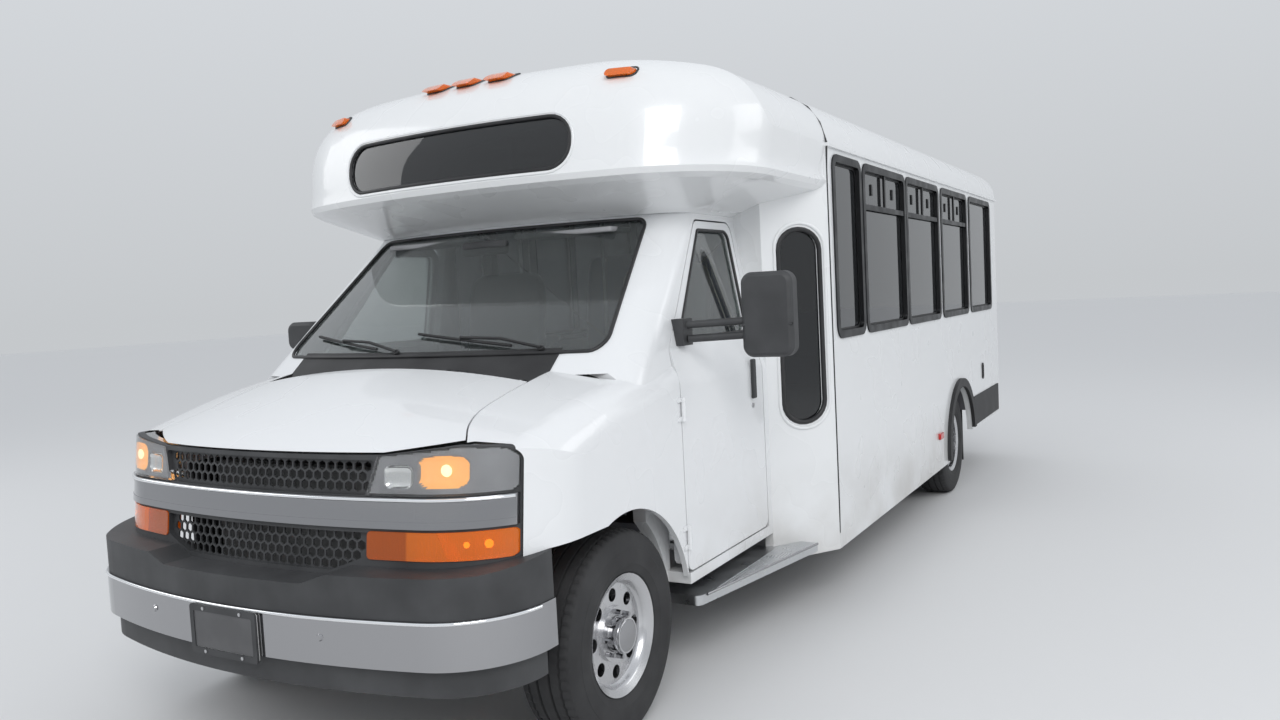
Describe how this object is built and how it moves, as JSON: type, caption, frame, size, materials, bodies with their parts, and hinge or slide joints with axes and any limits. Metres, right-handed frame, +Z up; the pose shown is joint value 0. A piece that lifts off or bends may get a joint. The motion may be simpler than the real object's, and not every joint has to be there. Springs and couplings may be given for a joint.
{
  "type": "minibus",
  "caption": "White minibus with a van cab, an overhanging front cap, a wider windowed coach body, bi-parting entry door, hinged rear door, steered front wheels and twin rear wheels.",
  "frame": {"origin": "on the ground, on the body's centre plane, at the middle of the overall length; the mirrors reach out unequally, so it is not the middle of the bounding box across", "axes": "+X to the vehicle's left, +Y to the rear, +Z up; the front faces -Y"},
  "size_m": [2.735, 7.189, 2.573],
  "materials": {
    "body_paint": "glossy white paint",
    "gelcoat": "glossy white moulded fibreglass",
    "dark_plastic": "textured dark grey moulding",
    "black_rubber": "matt black rubber and trim",
    "chrome_trim": "polished chrome",
    "clear_lens": "clear ribbed lens",
    "amber_lens": "amber lens",
    "red_lens": "red lens",
    "tinted_glass": "dark tinted glass",
    "clear_glass": "slightly green clear glass",
    "frame_steel": "black chassis paint",
    "cast_parts": "rough cast metal",
    "window_metal": "grey anodised extrusion",
    "step_metal": "bright ribbed step metal",
    "tyre_rubber": "black tyre",
    "wheel_metal": "bright wheel liner",
    "floor_covering": "grey ribbed floor covering",
    "blue_fabric": "blue woven seat cover",
    "grey_fabric": "grey woven seat cover",
    "rail_metal": "bright round tube",
    "dash_plastic": "grey grained moulding",
    "plate_metal": "blank white plate"
  },
  "bodies": {
    "coach_body": {"chassis_frame": "frame_steel", "front_suspension": "frame_steel", "rear_axle": "frame_steel", "engine": "cast_parts", "underbody": "cast_parts", "floor": "floor_covering", "left_wall": "gelcoat", "right_wall": "gelcoat", "rear_wall": "gelcoat", "roof": "gelcoat", "front_cap": "gelcoat", "transition_panels": "gelcoat", "body_glass": "tinted_glass", "window_frames": "window_metal", "cab_shell": "body_paint", "windshield": "clear_glass", "front_fenders": "body_paint", "cowl": "black_rubber", "grille": "dark_plastic", "grille_bar": "chrome_trim", "headlamps": "clear_lens", "amber_lamps": "amber_lens", "front_bumper": "chrome_trim", "bumper_cover": "dark_plastic", "plates": "plate_metal", "running_boards": "step_metal", "dashboard": "dash_plastic", "cab_seats": "grey_fabric", "saloon_seats": "blue_fabric", "grab_rails": "rail_metal", "rear_bumper": "frame_steel", "tail_lamps": "red_lens", "black_trim": "black_rubber"},
    "hood": {"hood": "body_paint"},
    "left_door": {"left_door": "body_paint", "left_door_glass": "clear_glass", "left_mirror": "dark_plastic"},
    "right_door": {"right_door": "body_paint", "right_door_glass": "clear_glass", "right_mirror": "dark_plastic"},
    "entry_front": {"entry_front_leaf": "gelcoat", "entry_front_glass": "tinted_glass"},
    "entry_rear": {"entry_rear_leaf": "gelcoat", "entry_rear_glass": "tinted_glass"},
    "rear_door": {"rear_door": "gelcoat", "rear_door_glass": "tinted_glass"},
    "left_knuckle": {"left_knuckle": "cast_parts"},
    "right_knuckle": {"right_knuckle": "cast_parts"},
    "front_left_wheel": {"front_left_tyre": "tyre_rubber", "front_left_rim": "wheel_metal"},
    "front_right_wheel": {"front_right_tyre": "tyre_rubber", "front_right_rim": "wheel_metal"},
    "rear_left_wheels": {"rear_left_tyres": "tyre_rubber", "rear_left_rims": "wheel_metal"},
    "rear_right_wheels": {"rear_right_tyres": "tyre_rubber", "rear_right_rims": "wheel_metal"}
  },
  "joints": [
    {"name": "steer_left", "type": "hinge", "parent": "coach_body", "child": "left_knuckle", "pos_m": [0.7475, -2.7015, 0.3715], "axis": [0, 0, 1], "range_deg": [-30, 30]},
    {"name": "steer_right", "type": "hinge", "parent": "coach_body", "child": "right_knuckle", "pos_m": [-0.7475, -2.7015, 0.3715], "axis": [0, 0, 1], "range_deg": [-30, 30]},
    {"name": "spin_front_left", "type": "hinge", "parent": "left_knuckle", "child": "front_left_wheel", "pos_m": [0.8675, -2.7015, 0.3715], "axis": [1, 0, 0], "continuous": true},
    {"name": "spin_front_right", "type": "hinge", "parent": "right_knuckle", "child": "front_right_wheel", "pos_m": [-0.8675, -2.7015, 0.3715], "axis": [1, 0, 0], "continuous": true},
    {"name": "spin_rear_left", "type": "hinge", "parent": "coach_body", "child": "rear_left_wheels", "pos_m": [0.925, 1.7945, 0.3715], "axis": [1, 0, 0], "continuous": true},
    {"name": "spin_rear_right", "type": "hinge", "parent": "coach_body", "child": "rear_right_wheels", "pos_m": [-0.925, 1.7945, 0.3715], "axis": [1, 0, 0], "continuous": true},
    {"name": "left_door_hinge", "type": "hinge", "parent": "coach_body", "child": "left_door", "pos_m": [1.017, -2.263, 0.87], "axis": [0, 0, -1], "range_deg": [0, 65]},
    {"name": "right_door_hinge", "type": "hinge", "parent": "coach_body", "child": "right_door", "pos_m": [-1.017, -2.263, 0.87], "axis": [0, 0, 1], "range_deg": [0, 65]},
    {"name": "entry_front_hinge", "type": "hinge", "parent": "coach_body", "child": "entry_front", "pos_m": [-1.23, -0.9915, 1.25], "axis": [0, 0, 1], "range_deg": [0, 90]},
    {"name": "entry_rear_hinge", "type": "hinge", "parent": "coach_body", "child": "entry_rear", "pos_m": [-1.23, -0.1575, 1.25], "axis": [0, 0, -1], "range_deg": [0, 90]},
    {"name": "rear_door_hinge", "type": "hinge", "parent": "coach_body", "child": "rear_door", "pos_m": [0.427, 3.5155, 1.3], "axis": [0, 0, -1], "range_deg": [0, 105]},
    {"name": "hood_hinge", "type": "hinge", "parent": "coach_body", "child": "hood", "pos_m": [0, -2.7395, 1.2684], "axis": [-1, 0, 0], "range_deg": [0, 48]}
  ],
  "couplings": [
    {"joint": "steer_right", "follows": "steer_left", "ratio": 1},
    {"joint": "entry_rear_hinge", "follows": "entry_front_hinge", "ratio": 1}
  ]
}
